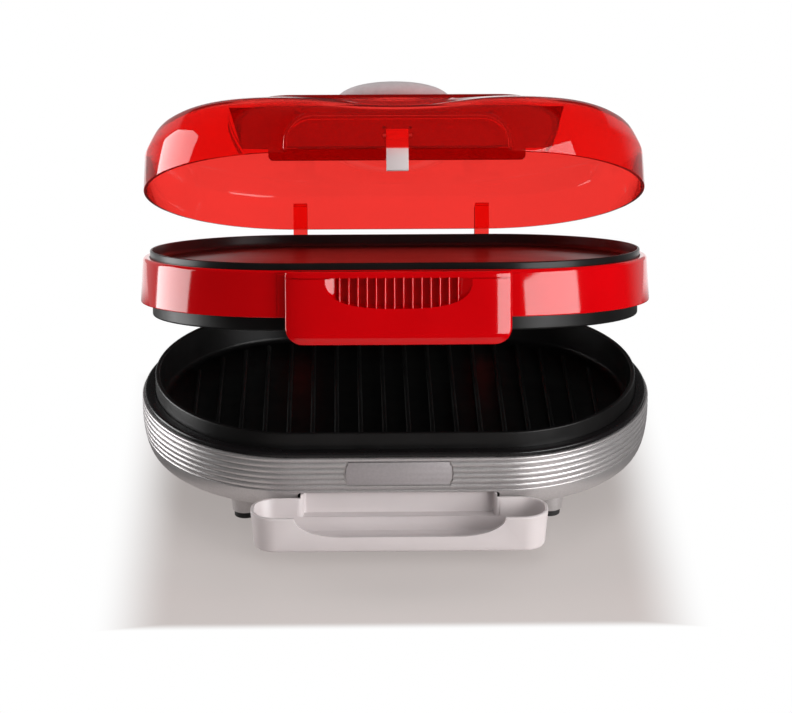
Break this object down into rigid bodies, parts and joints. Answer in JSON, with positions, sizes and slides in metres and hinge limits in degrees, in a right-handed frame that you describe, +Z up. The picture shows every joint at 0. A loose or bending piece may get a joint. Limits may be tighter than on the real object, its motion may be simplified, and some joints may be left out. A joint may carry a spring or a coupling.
{
  "type": "hamburger maker",
  "caption": "Countertop hamburger maker: oval base with a ribbed grill plate and drip tray, hinged heated ring with a bun pan, and a clear red domed lid with a latch.",
  "frame": {"origin": "on the surface it stands on, under the middle of the bounding box at rest (ring and lid part open, tray pushed in)", "axes": "+Z up, front with the handle and tray towards -Y, the rear hinge axle along X"},
  "size_m": [0.34, 0.344, 0.2729],
  "materials": {
    "silver_plastic": "satin silver paint",
    "black_plastic": "gloss black",
    "non_stick": "black non-stick coating on cast aluminium",
    "pressed_pan": "black non-stick coating on pressed sheet",
    "steel": "plain",
    "sheet_metal": "plain pressed sheet",
    "ceramic": "matt insulating body",
    "rubber": "matt",
    "pale_plastic": "satin",
    "red_plastic": "high gloss",
    "clear_red": "clear red, high gloss"
  },
  "bodies": {
    "base": {"base_housing": "silver_plastic", "base_bezel": "black_plastic", "lower_grill_plate": "non_stick", "lower_heater": "steel", "lower_heat_shield": "sheet_metal", "lower_thermostat": "steel", "terminal_block": "ceramic", "cord_gland": "rubber", "bottom_cover": "black_plastic", "front_nameplate": "silver_plastic", "foot_front_left": "silver_plastic", "foot_front_right": "silver_plastic", "foot_back_left": "silver_plastic", "foot_back_right": "silver_plastic", "foot_pad_front_left": "rubber", "foot_pad_front_right": "rubber", "foot_pad_back_left": "rubber", "foot_pad_back_right": "rubber", "cover_screw_1": "steel", "cover_screw_2": "steel", "cover_screw_3": "steel", "cover_screw_4": "steel", "tray_rail_left": "black_plastic", "tray_rail_right": "black_plastic", "hinge_bracket_left": "black_plastic", "hinge_bracket_right": "black_plastic", "hinge_screw_left": "steel", "hinge_screw_right": "steel", "hinge_axle": "steel"},
    "tray": {"drip_tray": "pale_plastic"},
    "middle": {"middle_housing": "red_plastic", "front_handle": "red_plastic", "upper_grill_plate": "non_stick", "bun_pan": "pressed_pan", "upper_heater": "steel", "upper_heat_shield": "sheet_metal", "upper_thermal_fuse": "ceramic", "middle_hinge_arm_left": "black_plastic", "middle_hinge_arm_right": "black_plastic", "handle_screw_left": "steel", "handle_screw_right": "steel"},
    "lid": {"lid_shell": "clear_red", "lid_cap": "silver_plastic", "latch_pin": "steel", "lid_hinge_arm_left": "clear_red", "lid_hinge_arm_right": "clear_red"},
    "latch": {"lid_latch": "pale_plastic"}
  },
  "joints": [
    {"name": "middle_hinge", "type": "hinge", "parent": "base", "child": "middle", "pos_m": [0, 0.15343, 0.0731], "axis": [-1, 0, 0], "range_deg": [-13.5, 66.5]},
    {"name": "lid_hinge", "type": "hinge", "parent": "middle", "child": "lid", "pos_m": [0, 0.15343, 0.0731], "axis": [-1, 0, 0], "range_deg": [-15, 45]},
    {"name": "latch_hinge", "type": "hinge", "parent": "lid", "child": "latch", "pos_m": [0, -0.07934, 0.25702], "axis": [-1, 0, 0], "range_deg": [0, 12], "stiffness_Nm_per_rad": 0.02, "springref_deg": -11.46},
    {"name": "tray_slide", "type": "slide", "parent": "base", "child": "tray", "axis": [0, -1, 0], "range_m": [0, 0.11]}
  ]
}
